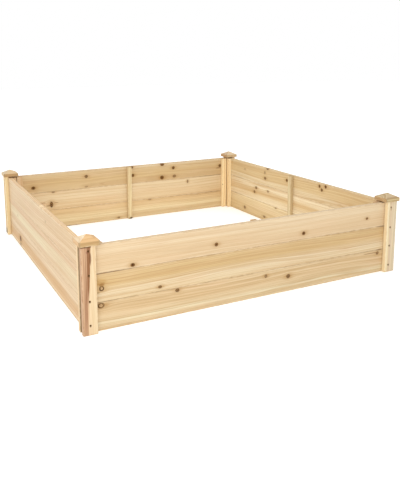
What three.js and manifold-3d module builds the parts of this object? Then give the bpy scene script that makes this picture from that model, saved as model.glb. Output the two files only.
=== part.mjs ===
// Square raised garden bed: four walls of three stacked boards, battened inside,
// nailed corner strips outside, and a low pyramid cap on each corner.
// Millimetres, +Z up, the bed rests on Z = 0, centred on the Z axis.
import * as THREE from 'three';
import { mergeVertices } from 'three/addons/utils/BufferGeometryUtils.js';
import Module from 'manifold-3d';

const wasm = await Module();
wasm.setup();

// ---- driving dimensions -------------------------------------------------
const WALL_OUT = 588;        // outer face of every wall board, from the centre
const BOARD_T = 15;          // board thickness
const BOARD_H = 88;          // board height
const BOARD_GAP = 0.8;       // seam between stacked boards
const BOARD_EASE = 1.2;      // eased long edges
const LONG_END = 598;        // front and back boards run this far each way
const SIDE_END = 572.5;      // left and right boards stop against the long walls
const STRIP_T = 16;          // corner strip thickness
const STRIP_W = 45;          // corner strip width
const STRIP_OUT = 604;       // outer side of the corner strip
const POST_H = 270;          // corner strips and outer battens, under the cap
const BATTEN_T = 16;         // battens stand this proud of the boards
const BATTEN_EASE = 0.8;
const OUTER_BATTEN_W = 15.5; // slim upright on the outside of each side wall end
const SIDE_BATTEN_W = 32;    // inside end battens of the left and right walls
const LONG_BATTEN_W = 24;    // inside end battens of the front and back walls
const LONG_BATTEN_IN = 527;  // their inner side, from the centre
const MID_BATTEN_W = 24;     // batten in the middle of each wall, inside
const CAP_HALF = 32;         // half the side of the square cap
const CAP_CENTRE = 578;      // cap centre, from the centre planes
const CAP_RIM = 13.5;        // height of the square rim
const CAP_RISE = 15.5;       // height of the pyramid above the rim
const CAP_EASE = 1.2;
const CAP_GAP = 0.3;         // joint between strips and cap
const NAIL_HEAD_R = 2.9;
const NAIL_HEAD_T = 1.1;
const NAIL_SHANK_R = 1.25;
const NAIL_LENGTH = 46;
const NAIL_SINK = 0.5;       // head sits this far below the face
const HOLE_PLAY = 0.3;
const NAIL_SIDES = 12;

// nail positions of each corner strip: distance out from the centre, heights
const NAILS = {
  front_left:  { x: -581.5, z: [255, 182, 103.5, 30] },
  front_right: { x: 576,    z: [249, 173, 102, 28] },
  back_left:   { x: -580,   z: [252, 181.5, 104, 31] },
  back_right:  { x: 579,    z: [250, 172.5, 101, 29] },
};

// ---- helpers ------------------------------------------------------------
// weld a geometry and drop the triangles that collapsed on the way
function weld(geometry) {
  const g = geometry.clone();
  g.deleteAttribute('normal');
  g.deleteAttribute('uv');
  const m = mergeVertices(g, 1e-4);
  const src = m.index.array;
  const keep = [];
  for (let i = 0; i < src.length; i += 3) {
    const [a, b, c] = [src[i], src[i + 1], src[i + 2]];
    if (a !== b && b !== c && a !== c) keep.push(a, b, c);
  }
  m.setIndex(keep);
  return m;
}

function toSolid(geometry) {
  const m = weld(geometry);
  return new wasm.Manifold(new wasm.Mesh({
    numProp: 3,
    vertProperties: new Float32Array(m.attributes.position.array),
    triVerts: new Uint32Array(m.index.array),
  }));
}

function fromSolid(solid) {
  const mesh = solid.getMesh();
  const g = new THREE.BufferGeometry();
  g.setAttribute('position', new THREE.BufferAttribute(new Float32Array(mesh.vertProperties), 3));
  g.setIndex(new THREE.BufferAttribute(new Uint32Array(mesh.triVerts), 1));
  const flat = g.toNonIndexed();
  flat.computeVertexNormals();
  return flat;
}

// rectangle with cut corners
function easedRect(w, h, e) {
  const s = new THREE.Shape();
  s.moveTo(-w / 2 + e, -h / 2);
  s.lineTo(w / 2 - e, -h / 2);
  s.lineTo(w / 2, -h / 2 + e);
  s.lineTo(w / 2, h / 2 - e);
  s.lineTo(w / 2 - e, h / 2);
  s.lineTo(-w / 2 + e, h / 2);
  s.lineTo(-w / 2, h / 2 - e);
  s.lineTo(-w / 2, -h / 2 + e);
  s.closePath();
  return s;
}

// straight piece of wood, centred on the origin, long edges eased
function bar(lx, ly, lz, axis, ease) {
  let g;
  if (axis === 'x') {
    g = new THREE.ExtrudeGeometry(easedRect(lz, ly, ease), { depth: lx, bevelEnabled: false });
    g.translate(0, 0, -lx / 2);
    g.rotateY(Math.PI / 2);
  } else if (axis === 'y') {
    g = new THREE.ExtrudeGeometry(easedRect(lx, lz, ease), { depth: ly, bevelEnabled: false });
    g.translate(0, 0, -ly / 2);
    g.rotateX(Math.PI / 2);
  } else {
    g = new THREE.ExtrudeGeometry(easedRect(lx, ly, ease), { depth: lz, bevelEnabled: false });
    g.translate(0, 0, -lz / 2);
  }
  return g;
}

// round pin along Y from y0 to y1, centred on x, z
function pinY(x, z, y0, y1, r) {
  const g = new THREE.CylinderGeometry(r, r, Math.abs(y1 - y0), NAIL_SIDES, 1);
  g.translate(x, (y0 + y1) / 2, z);
  return g;
}

// take away every cutter from a geometry; cutters are in the piece's own frame
function cut(geometry, cutters) {
  if (cutters.length === 0) return geometry;
  let solid = toSolid(geometry);
  for (const c of cutters) solid = solid.subtract(toSolid(c));
  return fromSolid(solid);
}

const group = new THREE.Group();
group.name = 'raised_garden_bed';

function wood(color, roughness = 0.78) {
  return new THREE.MeshStandardMaterial({ color, roughness, metalness: 0 });
}

function add(parent, name, geometry, material, x, y, z) {
  const mesh = new THREE.Mesh(geometry, material);
  mesh.name = name;
  mesh.position.set(x, y, z);
  parent.add(mesh);
  return mesh;
}

// ---- nails of one long wall side (sy = -1 front, +1 back) ----------------
function nailsOf(side) {
  return ['left', 'right'].flatMap((lr) => {
    const n = NAILS[`${side}_${lr}`];
    return n.z.map((z, i) => ({ lr, x: n.x, z, i: i + 1 }));
  });
}

const TINT = {
  front: ['#d8b27d', '#d9b582', '#e0bf8e'],
  back: ['#dcb985', '#e0bd8a', '#d9b27c'],
  left: ['#dcb58c', '#e2c4a0', '#e0c29c'],
  right: ['#dfc08f', '#e2c594', '#dcb986'],
};
const LEVEL = ['lower', 'middle', 'upper'];
const boardZ = (i) => BOARD_H / 2 + i * (BOARD_H + BOARD_GAP);
const WALL_TOP = 3 * BOARD_H + 2 * BOARD_GAP;
const boardMid = WALL_OUT - BOARD_T / 2;

// ---- wall boards ---------------------------------------------------------
const walls = new THREE.Group();
walls.name = 'walls';
group.add(walls);

for (const [side, sy] of [['front', -1], ['back', 1]]) {
  for (let i = 0; i < 3; i++) {
    const zc = boardZ(i);
    const holes = nailsOf(side)
      .filter((n) => Math.abs(n.z - zc) < BOARD_H / 2)
      .map((n) => pinY(n.x, n.z - zc, -BOARD_T, BOARD_T, NAIL_SHANK_R + HOLE_PLAY));
    const g = cut(bar(2 * LONG_END, BOARD_T, BOARD_H, 'x', BOARD_EASE), holes);
    add(walls, `${side}_board_${LEVEL[i]}`, g, wood(TINT[side][i]), 0, sy * boardMid, zc);
  }
}

for (const [side, sx] of [['left', -1], ['right', 1]]) {
  for (let i = 0; i < 3; i++) {
    const zc = boardZ(i);
    const xc = sx * boardMid;
    const holes = [];
    for (const [end, sy] of [['front', -1], ['back', 1]]) {
      const n = NAILS[`${end}_${side}`];
      for (const z of n.z) {
        if (Math.abs(z - zc) >= BOARD_H / 2) continue;
        const tip = sy * (STRIP_OUT - NAIL_SINK - NAIL_LENGTH - HOLE_PLAY);
        holes.push(pinY(n.x - xc, z - zc, tip, sy * (SIDE_END + 5), NAIL_SHANK_R + HOLE_PLAY));
      }
    }
    const g = cut(bar(BOARD_T, 2 * SIDE_END, BOARD_H, 'y', BOARD_EASE), holes);
    add(walls, `${side}_board_${LEVEL[i]}`, g, wood(TINT[side][i]), xc, 0, zc);
  }
}

// ---- inside battens ------------------------------------------------------
const battens = new THREE.Group();
battens.name = 'battens';
group.add(battens);
const innerMid = WALL_OUT - BOARD_T - BATTEN_T / 2;

for (const [side, sy] of [['front', -1], ['back', 1]]) {
  add(battens, `${side}_mid_batten`, bar(MID_BATTEN_W, BATTEN_T, WALL_TOP - 1, 'z', BATTEN_EASE),
    wood('#e6ca9c'), 0, sy * innerMid, WALL_TOP / 2);
  for (const [lr, sx] of [['left', -1], ['right', 1]]) {
    add(battens, `${side}_end_batten_${lr}`,
      bar(LONG_BATTEN_W, BATTEN_T, WALL_TOP - 1, 'z', BATTEN_EASE),
      wood('#e4c696'), sx * (LONG_BATTEN_IN + LONG_BATTEN_W / 2), sy * innerMid, WALL_TOP / 2);
  }
}
for (const [side, sx] of [['left', -1], ['right', 1]]) {
  add(battens, `${side}_mid_batten`, bar(BATTEN_T, MID_BATTEN_W, WALL_TOP - 1, 'z', BATTEN_EASE),
    wood('#e3c493'), sx * innerMid, 0, WALL_TOP / 2);
  for (const [fb, sy] of [['front', -1], ['back', 1]]) {
    add(battens, `${side}_end_batten_${fb}`,
      bar(BATTEN_T, SIDE_BATTEN_W, WALL_TOP - 1, 'z', BATTEN_EASE),
      wood('#dfbf90'), sx * innerMid, sy * (SIDE_END - SIDE_BATTEN_W / 2), WALL_TOP / 2);
  }
}

// ---- corners: outer strip, slim outer batten, cap, nails ------------------
const corners = new THREE.Group();
corners.name = 'corners';
group.add(corners);
const STRIP_TINT = {
  front_left: '#c9a079', front_right: '#e0c79a', back_left: '#dfc596', back_right: '#dcbf8e',
};

// square rim with a low pyramid on top; the underside is at z = 0
function capGeometry() {
  const k = Math.SQRT2;
  const e = CAP_EASE;
  const g = new THREE.LatheGeometry([
    new THREE.Vector2(0, 0),
    new THREE.Vector2((CAP_HALF - e) * k, 0),
    new THREE.Vector2(CAP_HALF * k, e),
    new THREE.Vector2(CAP_HALF * k, CAP_RIM - e),
    new THREE.Vector2((CAP_HALF - e) * k, CAP_RIM),
    new THREE.Vector2(0, CAP_RIM + CAP_RISE),
  ], 4);
  g.rotateX(Math.PI / 2);
  g.rotateZ(Math.PI / 4);
  return fromSolid(toSolid(g));
}

// head, shank and point of a nail driven along +Y from the origin
function nailGeometry() {
  const g = new THREE.LatheGeometry([
    new THREE.Vector2(0, 0),
    new THREE.Vector2(NAIL_HEAD_R, 0),
    new THREE.Vector2(NAIL_HEAD_R, NAIL_HEAD_T),
    new THREE.Vector2(NAIL_SHANK_R, NAIL_HEAD_T + 0.4),
    new THREE.Vector2(NAIL_SHANK_R, NAIL_LENGTH - 4),
    new THREE.Vector2(0, NAIL_LENGTH),
  ], NAIL_SIDES);
  return fromSolid(toSolid(g));
}

for (const [fb, sy] of [['front', -1], ['back', 1]]) {
  for (const [lr, sx] of [['left', -1], ['right', 1]]) {
    const key = `${fb}_${lr}`;
    const corner = new THREE.Group();
    corner.name = `corner_${key}`;
    corners.add(corner);

    // outer strip, drilled and sunk for its four nails
    const stripX = sx * (STRIP_OUT - STRIP_W / 2);
    const stripY = sy * (WALL_OUT + STRIP_T / 2);
    const cutters = [];
    for (const z of NAILS[key].z) {
      const x = NAILS[key].x - stripX;
      const zc = z - POST_H / 2;
      cutters.push(pinY(x, zc, -STRIP_T, STRIP_T, NAIL_SHANK_R + HOLE_PLAY));
      const floor = sy * (STRIP_T / 2 - NAIL_SINK - NAIL_HEAD_T - 0.4 - HOLE_PLAY);
      cutters.push(pinY(x, zc, floor, sy * STRIP_T, NAIL_HEAD_R + HOLE_PLAY));
    }
    add(corner, `corner_strip_${key}`, cut(bar(STRIP_W, STRIP_T, POST_H, 'z', BOARD_EASE), cutters),
      wood(STRIP_TINT[key]), stripX, stripY, POST_H / 2);

    // slim upright outside the end of the side wall
    add(corner, `outer_batten_${key}`,
      bar(STRIP_T, OUTER_BATTEN_W, POST_H, 'z', BATTEN_EASE), wood('#d6b684'),
      sx * (WALL_OUT + STRIP_T / 2), sy * (SIDE_END - OUTER_BATTEN_W / 2), POST_H / 2);

    add(corner, `post_cap_${key}`, capGeometry(), wood('#d8b078', 0.72),
      sx * CAP_CENTRE, sy * CAP_CENTRE, POST_H + CAP_GAP);

    NAILS[key].z.forEach((z, i) => {
      const nail = add(corner, `nail_${key}_${i + 1}`, nailGeometry(),
        new THREE.MeshStandardMaterial({ color: '#6b5b49', roughness: 0.55, metalness: 0.85 }),
        NAILS[key].x, sy * (STRIP_OUT - NAIL_SINK), z);
      if (sy > 0) nail.rotation.z = Math.PI;
    });
  }
}

export default group;
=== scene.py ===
import math

import bmesh
import bpy
import numpy as np
from mathutils import Matrix, Vector


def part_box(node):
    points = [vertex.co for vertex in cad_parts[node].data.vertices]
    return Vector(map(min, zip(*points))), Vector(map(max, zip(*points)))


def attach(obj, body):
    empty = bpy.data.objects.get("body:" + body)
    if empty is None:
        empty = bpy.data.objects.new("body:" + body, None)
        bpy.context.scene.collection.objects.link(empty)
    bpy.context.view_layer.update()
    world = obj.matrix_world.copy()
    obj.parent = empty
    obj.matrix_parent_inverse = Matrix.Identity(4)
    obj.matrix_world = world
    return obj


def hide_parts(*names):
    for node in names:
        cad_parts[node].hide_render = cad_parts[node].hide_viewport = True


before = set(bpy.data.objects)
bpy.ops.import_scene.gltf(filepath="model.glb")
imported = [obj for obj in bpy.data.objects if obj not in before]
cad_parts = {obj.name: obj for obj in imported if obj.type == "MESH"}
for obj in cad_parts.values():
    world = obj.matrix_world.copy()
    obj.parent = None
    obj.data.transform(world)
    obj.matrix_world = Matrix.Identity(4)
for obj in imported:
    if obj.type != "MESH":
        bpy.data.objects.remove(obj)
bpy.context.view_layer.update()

scene = bpy.context.scene
MM = 0.001

# ------------------------------------------------------------------ camera
# Pinhole fitted to the bed's corner lines, in a 400 x 489 frame.
FOCAL_PX, YAW, PITCH, ROLL = 602.98, 0.46671, 0.17435, -0.00442
EYE = (-1.06591, -2.19931, 0.79277)
AXIS_PX = (188.35, 164.75)
FRAME_W, FRAME_H = 400, 489


def make_camera():
    fwd = Vector((math.sin(YAW) * math.cos(PITCH), math.cos(YAW) * math.cos(PITCH), -math.sin(PITCH)))
    right = Vector((math.cos(YAW), -math.sin(YAW), 0.0))
    up = right.cross(fwd)
    c, s = math.cos(ROLL), math.sin(ROLL)
    r2, u2 = right * c + up * s, up * c - right * s
    data = bpy.data.cameras.new("camera")
    data.sensor_width = 36.0
    data.sensor_fit = "AUTO"
    data.lens = FOCAL_PX / FRAME_H * 36.0
    data.shift_x = (FRAME_W / 2 - AXIS_PX[0]) / FRAME_H
    data.shift_y = -(FRAME_H / 2 - AXIS_PX[1]) / FRAME_H
    data.clip_start, data.clip_end = 0.05, 100.0
    cam = bpy.data.objects.new("camera", data)
    m = Matrix((
        (r2.x, u2.x, -fwd.x, EYE[0]),
        (r2.y, u2.y, -fwd.y, EYE[1]),
        (r2.z, u2.z, -fwd.z, EYE[2]),
        (0, 0, 0, 1),
    ))
    cam.matrix_world = m
    scene.collection.objects.link(cam)
    scene.camera = cam


make_camera()


# ------------------------------------------------------------------ small helpers
def lin(rgb):
    """8-bit sRGB to linear RGBA."""
    out = []
    for v in rgb:
        c = v / 255.0
        out.append(c / 12.92 if c <= 0.04045 else ((c + 0.055) / 1.055) ** 2.4)
    return (out[0], out[1], out[2], 1.0)


ALBEDO = 0.84  # how light the wood is beside the light it is seen in


def wood_rgb(rgb, k=1.0):
    c = lin(rgb)
    return (c[0] * ALBEDO * k, c[1] * ALBEDO * k, c[2] * ALBEDO * k, 1.0)


class Net:
    """Shorthand for building a node tree."""

    def __init__(self, tree):
        self.t, self.n, self.l = tree, tree.nodes, tree.links

    def put(self, sock, v):
        if isinstance(v, bpy.types.NodeSocket):
            self.l.new(v, sock)
        else:
            sock.default_value = v

    def math(self, op, a, b=None, c=None, clamp=False):
        n = self.n.new("ShaderNodeMath")
        n.operation = op
        n.use_clamp = clamp
        for i, x in enumerate((a, b, c)):
            if x is not None:
                self.put(n.inputs[i], x)
        return n.outputs[0]

    def add(self, a, b): return self.math("ADD", a, b)
    def sub(self, a, b): return self.math("SUBTRACT", a, b)
    def mul(self, a, b): return self.math("MULTIPLY", a, b)
    def mad(self, a, b, c): return self.math("MULTIPLY_ADD", a, b, c)
    def mx(self, a, b): return self.math("MAXIMUM", a, b)
    def mn(self, a, b): return self.math("MINIMUM", a, b)
    def abs(self, a): return self.math("ABSOLUTE", a)
    def inv(self, a): return self.math("SUBTRACT", 1.0, a)

    def smooth(self, x, a, b, lo=0.0, hi=1.0):
        n = self.n.new("ShaderNodeMapRange")
        n.interpolation_type = "SMOOTHSTEP"
        n.clamp = True
        self.put(n.inputs[0], x)
        for i, v in ((1, a), (2, b), (3, lo), (4, hi)):
            self.put(n.inputs[i], v)
        return n.outputs[0]

    def gauss(self, x2, k):
        """exp(-k * x2)"""
        return self.math("EXPONENT", self.mul(x2, -k))

    def xyz(self, x, y, z):
        n = self.n.new("ShaderNodeCombineXYZ")
        for i, v in enumerate((x, y, z)):
            self.put(n.inputs[i], v)
        return n.outputs[0]

    def noise(self, v, scale=1.0, detail=2.0, rough=0.5, dist=0.0):
        n = self.n.new("ShaderNodeTexNoise")
        n.noise_dimensions = "3D"
        self.put(n.inputs["Vector"], v)
        n.inputs["Scale"].default_value = scale
        n.inputs["Detail"].default_value = detail
        n.inputs["Roughness"].default_value = rough
        n.inputs["Distortion"].default_value = dist
        return n.outputs[0]

    def mixc(self, f, a, b, blend="MIX"):
        n = self.n.new("ShaderNodeMix")
        n.data_type = "RGBA"
        n.blend_type = blend
        n.clamp_factor = True
        self.put(n.inputs[0], f)
        self.put(n.inputs[6], a)
        self.put(n.inputs[7], b)
        return n.outputs[2]

    def ramp(self, x, stops):
        """stops: (position, value) with a grey value each."""
        n = self.n.new("ShaderNodeValToRGB")
        cr = n.color_ramp
        cr.interpolation = "EASE"
        while len(cr.elements) > 1:
            cr.elements.remove(cr.elements[-1])
        cr.elements[0].position = stops[0][0]
        cr.elements[0].color = (stops[0][1],) * 3 + (1.0,)
        for p, v in stops[1:]:
            e = cr.elements.new(p)
            e.color = (v, v, v, 1.0)
        self.put(n.inputs[0], x)
        return n.outputs[0]

    def group(self, tree, **inputs):
        n = self.n.new("ShaderNodeGroup")
        n.node_tree = tree
        for k, v in inputs.items():
            self.put(n.inputs[k], v)
        return n


def new_group(name, ins, outs):
    g = bpy.data.node_groups.new(name, "ShaderNodeTree")
    for n, kind in ins:
        g.interface.new_socket(name=n, in_out="INPUT", socket_type=kind)
    for n, kind in outs:
        g.interface.new_socket(name=n, in_out="OUTPUT", socket_type=kind)
    gi = g.nodes.new("NodeGroupInput")
    go = g.nodes.new("NodeGroupOutput")
    return g, Net(g), gi.outputs, go.inputs


F, C = "NodeSocketFloat", "NodeSocketColor"


# ------------------------------------------------------------------ wood: the fir itself
def fir_group():
    """Solid fir. L runs along the grain, W across the face and T through the thickness, in metres.
    The rings are circles about a pith line, so faces, edges and ends agree with each other."""
    g, w, i, o = new_group(
        "fir",
        [("L", F), ("W", F), ("T", F), ("Seed", F), ("PithW", F), ("PithT", F), ("Drift", F), ("Ring", F),
         ("Heart", F), ("Streak", F), ("Late", F), ("Pale", C), ("Tan", C), ("Line", C), ("Blush", C)],
        [("Color", C), ("Height", F), ("Rough", F)],
    )
    L, W, T, seed = i["L"], i["W"], i["T"], i["Seed"]
    s1, s2 = w.mul(seed, 3.17), w.mul(seed, 7.73)
    # the pith wanders along the trunk
    n1 = w.noise(w.xyz(w.mad(L, 1.5, s1), w.mad(W, 5.0, s2), w.mul(T, 5.0)), 1.0, 1.0, 0.4)
    n1b = w.noise(w.xyz(w.mad(L, 5.0, s2), w.mad(W, 24.0, s1), w.mul(T, 24.0)), 1.0, 2.0, 0.5)
    wander = w.add(w.mul(w.sub(n1, 0.5), 0.030), w.mul(w.sub(n1b, 0.5), 0.0048))
    dw = w.add(w.sub(W, i["PithW"]), w.add(wander, w.mul(L, i["Drift"])))
    dt = w.add(w.sub(T, i["PithT"]), w.mul(wander, 0.45))
    R = w.math("SQRT", w.add(w.mul(dw, dw), w.mul(dt, dt)))
    # rings of uneven width
    uneven = w.noise(w.xyz(w.mad(R, 70.0, s1), s2, 0.0), 1.0, 2.0, 0.6)
    q = w.add(w.math("DIVIDE", R, i["Ring"]), w.mul(uneven, 3.2))
    fr = w.math("FRACT", q)
    late = w.mul(w.smooth(fr, 0.30, 0.90), w.smooth(fr, 0.995, 0.93))
    ring_id = w.math("FLOOR", q)
    n = w.n.new("ShaderNodeTexWhiteNoise")
    n.noise_dimensions = "1D"
    w.put(n.inputs["W"], w.add(ring_id, s1))
    ring_tone = n.outputs["Value"]
    late = w.mul(late, w.mad(ring_tone, 0.9, 0.35))
    # wide, long streaks, which follow the rings
    st1 = w.noise(w.xyz(w.mad(L, 1.1, s2), w.mad(R, 92.0, s1), w.mul(T, 6.0)), 1.0, 3.0, 0.62)
    st2 = w.noise(w.xyz(w.mad(L, 3.4, s1), w.mad(R, 330.0, s2), w.mul(T, 20.0)), 1.0, 3.0, 0.6)
    streak = w.mul(w.add(w.smooth(st1, 0.40, 0.68), w.mul(w.smooth(st2, 0.42, 0.75), 0.55)), i["Streak"])
    # thin drawn-out lines, thicker where the streaks are
    st3 = w.noise(w.xyz(w.mad(L, 0.8, s1), w.mad(R, 150.0, s2), w.mul(T, 8.0)), 1.0, 2.0, 0.55)
    st4 = w.noise(w.xyz(w.mad(L, 1.9, s2), w.mad(R, 260.0, s1), w.mul(T, 14.0)), 1.0, 1.0, 0.5)
    lines = w.mul(w.smooth(w.abs(w.sub(st3, 0.5)), 0.034, 0.004), w.smooth(st1, 0.36, 0.58, 0.25, 1.0))
    lines = w.mx(lines, w.mul(w.smooth(w.abs(w.sub(st4, 0.52)), 0.022, 0.003), w.smooth(st1, 0.30, 0.62, 0.0, 0.8)))
    # fibres, and the small pale flecks that planing leaves
    fib = w.noise(w.xyz(w.mad(L, 28.0, s1), w.mul(W, 1500.0), w.mad(T, 1500.0, s2)), 1.0, 3.0, 0.65)
    fib2 = w.noise(w.xyz(w.mad(L, 9.0, s2), w.mad(W, 420.0, s1), w.mul(T, 420.0)), 1.0, 2.0, 0.6)
    blotch = w.noise(w.xyz(w.mad(L, 3.0, s2), w.mad(W, 16.0, s1), w.mul(T, 16.0)), 1.0, 2.0, 0.5)
    heart = w.math("ADD", i["Heart"], w.mul(w.sub(blotch, 0.5), 0.30), clamp=True)
    col = w.mixc(heart, i["Pale"], i["Tan"])
    col = w.mixc(w.mul(w.smooth(n1b, 0.50, 0.78), 0.40), col, i["Blush"])
    col = w.mixc(w.mul(streak, 0.55), col, i["Line"])
    dark_line = w.mixc(1.0, i["Line"], (0.86, 0.80, 0.70, 1.0), "MULTIPLY")
    col = w.mixc(w.mul(lines, w.mul(i["Streak"], 0.62)), col, dark_line)
    col = w.mixc(w.mul(late, i["Late"]), col, i["Line"])
    fine = w.add(w.mul(w.sub(fib, 0.5), 0.20), w.mul(w.sub(fib2, 0.5), 0.20))
    lift = w.math("ADD", 1.0, fine)
    col = w.mixc(1.0, col, w.xyz(lift, lift, w.mad(fine, 1.25, 1.0)), "MULTIPLY")
    w.put(o["Color"], col)
    w.put(o["Height"], w.add(w.mul(late, 0.035), w.add(w.mul(w.sub(fib, 0.5), 0.05), w.mul(w.sub(fib2, 0.5), 0.03))))
    w.put(o["Rough"], w.add(w.mad(w.sub(fib2, 0.5), 0.14, 0.62), w.mul(late, -0.07)))
    return g


def knot_field_group():
    """A branch crossing the board: distance from its rim, and how far the grain steps aside."""
    g, w, i, o = new_group(
        "knot_field",
        [("L", F), ("W", F), ("T", F), ("KL", F), ("KW", F), ("A", F), ("B", F), ("Lean", F), ("N", F)],
        [("D", F), ("E2", F), ("Push", F)],
    )
    l0 = w.sub(i["L"], i["KL"])
    w0 = w.sub(i["W"], w.mad(i["Lean"], i["T"], i["KW"]))
    dl, dw = w.math("DIVIDE", l0, i["A"]), w.math("DIVIDE", w0, i["B"])
    r = w.math("SQRT", w.add(w.mul(dl, dl), w.mul(dw, dw)))
    w.put(o["D"], w.mul(r, w.mad(w.sub(i["N"], 0.5), 0.75, 1.0)))
    el, ew = w.mul(dl, 0.36), w.mul(dw, 0.62)
    e2 = w.add(w.mul(el, el), w.mul(ew, ew))
    w.put(o["E2"], e2)
    w.put(o["Push"], w.mul(w.mul(w0, -0.86), w.gauss(e2, 1.15)))
    return g


def knot_paint_group():
    """Colours a knot: Kind 0 is a small tight dark one, 1 is a larger one with a pale middle and a dark rim."""
    g, w, i, o = new_group(
        "knot_paint",
        [("Color", C), ("Height", F), ("D", F), ("E2", F), ("Kind", F), ("N", F), ("Dark", F)],
        [("Color", C), ("Height", F)],
    )
    D = i["D"]
    mask = w.smooth(D, 1.14, 0.78)
    halo = w.mul(w.gauss(i["E2"], 1.5), w.inv(mask))
    halo = w.mul(halo, w.smooth(i["N"], 0.25, 0.60, 0.55, 1.15))
    col = w.mixc(w.mul(halo, w.mul(i["Dark"], 0.66)), i["Color"], wood_rgb((178, 130, 62)))
    turns = w.mad(w.math("SINE", w.add(w.mul(D, w.mad(i["Kind"], 7.0, 8.0)), w.mul(i["N"], 7.0))), 0.5, 0.5)
    dark = w.mixc(turns, wood_rgb((74, 42, 4)), wood_rgb((146, 98, 38)))
    dark = w.mixc(w.smooth(D, 0.55, 0.15), dark, wood_rgb((60, 34, 4)))
    pale = w.mixc(turns, wood_rgb((150, 108, 58)), wood_rgb((206, 168, 112)))
    pale = w.mixc(w.smooth(D, 0.58, 0.26), pale, wood_rgb((224, 190, 140)))
    pith = w.smooth(D, 0.36, 0.14)
    pale = w.mixc(w.mul(pith, 0.75), pale, wood_rgb((150, 108, 76)))
    inner = w.mixc(i["Kind"], dark, pale)
    col = w.mixc(w.mul(mask, i["Dark"]), col, inner)
    rim = w.smooth(w.abs(w.sub(D, w.mad(i["Kind"], -0.12, 0.92))), w.mad(i["Kind"], 0.16, 0.24), w.mad(i["Kind"], 0.10, 0.05))
    rim = w.mul(rim, w.smooth(i["N"], 0.34, 0.54, 0.35, 1.0))
    rim = w.mul(rim, w.mad(i["Kind"], 0.45, 0.55))
    col = w.mixc(w.mul(rim, w.mul(i["Dark"], 0.92)), col, wood_rgb((70, 42, 8)))
    w.put(o["Color"], col)
    w.put(o["Height"], w.add(i["Height"], w.add(w.mul(mask, 0.08), w.mul(rim, -0.22))))
    return g


def split_group():
    """A drying crack along the grain, from L0 to L1 at W0."""
    g, w, i, o = new_group(
        "split",
        [("Color", C), ("Height", F), ("L", F), ("W", F), ("L0", F), ("L1", F), ("W0", F), ("Wide", F), ("N", F), ("Dark", F)],
        [("Color", C), ("Height", F)],
    )
    mid = w.mul(w.add(i["L0"], i["L1"]), 0.5)
    half = w.mul(w.sub(i["L1"], i["L0"]), 0.5)
    t = w.math("DIVIDE", w.abs(w.sub(i["L"], mid)), half)
    wide = w.mul(i["Wide"], w.math("SQRT", w.math("SUBTRACT", 1.0, w.mul(t, t), clamp=True)))
    off = w.abs(w.sub(w.sub(i["W"], i["W0"]), w.mul(w.sub(i["N"], 0.5), 0.004)))
    m = w.smooth(w.math("DIVIDE", off, w.mx(wide, 0.00001)), 1.0, 0.45)
    m = w.mul(m, w.smooth(t, 1.0, 0.9))
    w.put(o["Color"], w.mixc(w.mul(m, i["Dark"]), i["Color"], wood_rgb((70, 45, 26))))
    w.put(o["Height"], w.mad(m, -0.6, i["Height"]))
    return g


def edge_group():
    """Handled edges and sawn ends, the ends darkened with painted shade where they sit in a slot. X, Y and Z are the
    distances to the piece's faces.
    """
    g, w, i, o = new_group(
        "edges",
        [("Color", C), ("Height", F), ("Rough", F), ("X", F), ("Y", F), ("Z", F), ("N", F), ("Saw", F), ("EndX", F),
         ("Dull", F), ("Seam", F), ("S", F)],
        [("Color", C), ("Height", F), ("Rough", F)],
    )
    a, b, c = i["X"], i["Y"], i["Z"]
    second = w.mx(w.mn(a, b), w.mn(w.mx(a, b), c))
    near = w.mul(w.smooth(second, 0.0042, 0.0004), w.smooth(i["N"], 0.34, 0.62))
    col = w.mixc(w.mul(near, 0.38), i["Color"], wood_rgb((247, 226, 190)))
    grime = w.mul(w.smooth(second, 0.0065, 0.0018), w.smooth(i["N"], 0.60, 0.38))
    col = w.mixc(w.mul(grime, 0.16), col, wood_rgb((176, 132, 84)))
    # dirt drawn into the joint between one board and the next, most of it towards the ends
    joint = w.mul(w.smooth(b, 0.0030, 0.0009), w.smooth(i["S"], 0.42, 0.66, 0.05, 1.0))
    joint = w.mul(joint, w.smooth(a, 0.34, 0.04, 0.35, 1.0))
    col = w.mixc(w.mul(joint, i["Seam"]), col, wood_rgb((116, 80, 36)))
    end = w.smooth(i["EndX"], 0.0020, 0.0006)
    cut = w.mixc(0.55, wood_rgb((196, 150, 98)), wood_rgb((226, 190, 140)))
    col = w.mixc(w.mul(end, 0.55), col, w.mixc(1.0, col, cut, "MULTIPLY"))
    col = w.mixc(w.mul(end, 0.22), col, cut)
    # end grain, darkened further with painted shade for board ends deep in the corner slots
    col = w.mixc(w.mul(end, i["Dull"]), col, wood_rgb((112, 90, 64)))
    w.put(o["Color"], col)
    w.put(o["Height"], w.add(i["Height"], w.mul(w.mul(end, w.sub(i["Saw"], 0.5)), 0.35)))
    w.put(o["Rough"], w.math("ADD", i["Rough"], w.add(w.mul(end, 0.2), w.mul(near, 0.08)), clamp=True))
    return g


FIR, KNOT, PAINT, SPLIT, EDGES = fir_group(), knot_field_group(), knot_paint_group(), split_group(), edge_group()

AX = {"x": 0, "y": 1, "z": 2}
PALE, TAN, LINE, BLUSH = (245, 221, 184), (228, 193, 146), (203, 158, 106), (238, 200, 158)


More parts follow.
